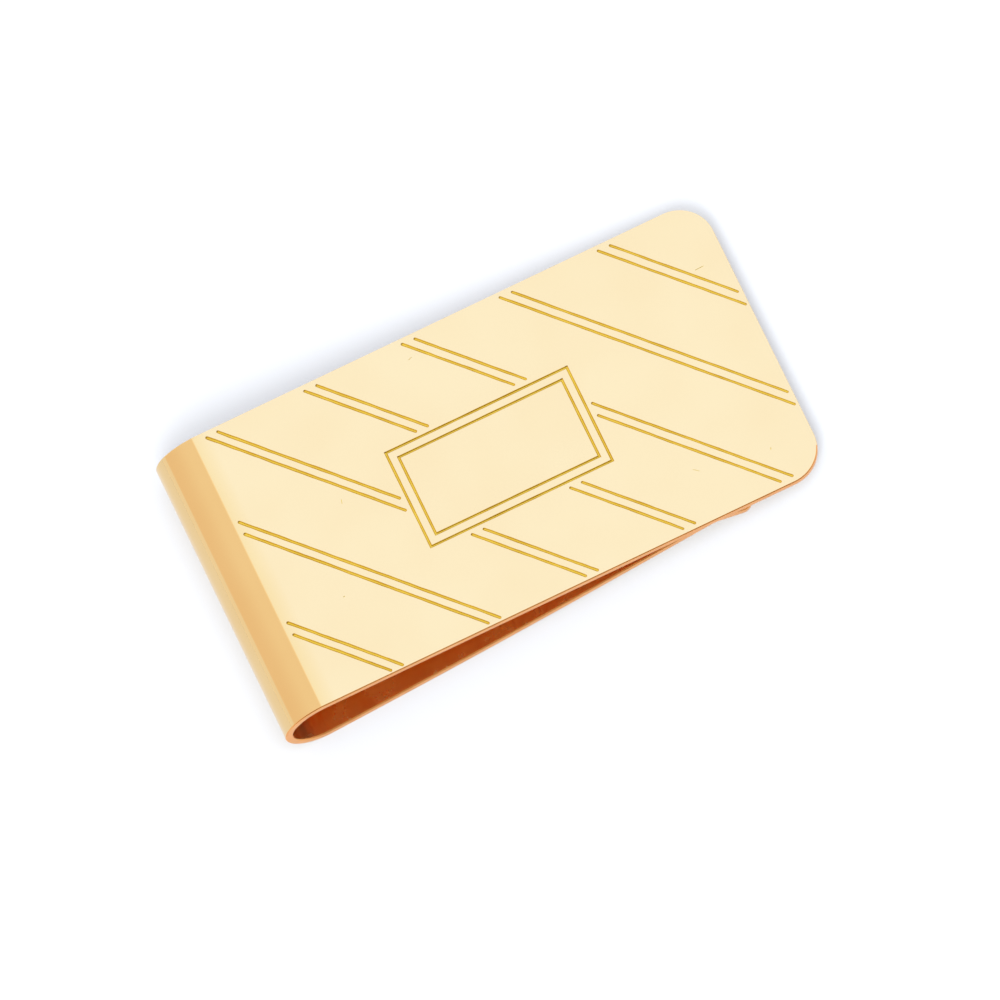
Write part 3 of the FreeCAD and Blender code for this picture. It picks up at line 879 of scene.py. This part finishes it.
# What the gold mirrors: warm walls on the fold's side, the pale sweep of paper under them, a dim front, and
# a bright scrim that fills the whole reflection in the engraved face. The leans are in degrees.
HIGH_WALL = (1.13, 1.04, 0.91)
LOW_WALL = (1.07, 0.91, 0.75)
SWEEP = (1.10, 1.10, 1.10)
FRONT = (0.31, 0.22, 0.105)
SCRIM = (1.06, 1.196, 1.45)
SCRIM_LEAN_ALONG = 7.7
SCRIM_LEAN_ACROSS = 10
LEFT = (-1, 0, 0)
NEAR = (0, -1, 0)
DOWN = (0, 0, -1)

world = bpy.data.worlds.new("studio")
world.use_nodes = True
bpy.context.scene.world = world
world_nodes = world.node_tree.nodes
world_links = world.node_tree.links
sky = world_nodes["Background"]
sky_place = world_nodes.new("ShaderNodeTexCoord")
low_mask = side_mask(world_nodes, world_links, sky_place, LEFT, soft=0.33, shift=0.63)
sweep_mask = multiply(world_nodes, world_links,
                      side_mask(world_nodes, world_links, sky_place, DOWN, soft=0.02, shift=-0.20),
                      side_mask(world_nodes, world_links, sky_place, LEFT, soft=0.2, shift=0.3))
front_mask = side_mask(world_nodes, world_links, sky_place, NEAR, soft=0.16, shift=0.50)
along, across = leaning(SCRIM_LEAN_ALONG, 0), leaning(SCRIM_LEAN_ACROSS, 1)
scrim_mask = multiply(world_nodes, world_links,
                      side_mask(world_nodes, world_links, sky_place, along, soft=0.025),
                      side_mask(world_nodes, world_links, sky_place, across, soft=0.1))
view = blend_tones(world_nodes, world_links, low_mask, HIGH_WALL, LOW_WALL)
view = blend_tones(world_nodes, world_links, sweep_mask, view, SWEEP)
view = blend_tones(world_nodes, world_links, front_mask, view, FRONT)
view = blend_tones(world_nodes, world_links, scrim_mask, view, SCRIM)
world_links.new(view, sky.inputs["Color"])

# A key from over the viewer's shoulder, and a wide cool fill overhead.
middle_of_clip = (cad_low + cad_high) / 2
add_softbox("key", (-0.22, -0.66, 1.0), distance=1.5, width=0.60, brightness=16.0, tone=(1.0, 1.0, 1.0),
            target=middle_of_clip)
add_softbox("fill", (0.1, -0.3, 1.0), distance=1.5, width=1.5, brightness=3.7, tone=(0.86, 1.0, 1.22),
            target=middle_of_clip)

# ---- camera -----------------------------------------------------------------------------------------------

# A long lens. Its turns are against the strip's axes, in radians. The picture is moved sideways and upwards
# by sliding the camera, and the lens is as many sensors long as the focal share.
CAMERA_TILT = -0.340444
CAMERA_TURN = 0.032896
CAMERA_ROLL = 0.455148
FOCAL_SHARE = 23.858
CAMERA_DISTANCE = 1.99768
PICTURE_LEFT = 0.0079092
PICTURE_UP = 0.0355212
LOOK_AT = Vector((22.111 * MM, 0.0, -1.005 * MM))

turn = Matrix.Rotation(CAMERA_ROLL, 3, "Z") @ Matrix.Rotation(CAMERA_TILT, 3, "X")
turn = turn @ Matrix.Rotation(CAMERA_TURN, 3, "Y")
right, up, back = (strip_turn @ Vector(row) for row in turn)
camera_data = bpy.data.cameras.new("camera")
camera_data.lens = FOCAL_SHARE * camera_data.sensor_width
camera = bpy.data.objects.new("camera", camera_data)
bpy.context.scene.collection.objects.link(camera)
bpy.context.scene.camera = camera
aim = strip_origin + strip_turn @ LOOK_AT
stand = aim + CAMERA_DISTANCE * back
stand += CAMERA_DISTANCE / FOCAL_SHARE * (PICTURE_LEFT * right - PICTURE_UP * up)
camera.matrix_world = Matrix.Translation(stand) @ Matrix((right, up, back)).transposed().to_4x4()
camera_data.clip_start = 0.1
camera_data.clip_end = 10.0

# Light goes back and forth many times between the two sheets before it leaves the hollow.
BOUNCES = 24
bpy.context.scene.cycles.max_bounces = BOUNCES
bpy.context.scene.cycles.glossy_bounces = BOUNCES
bpy.context.scene.view_settings.view_transform = "Standard"
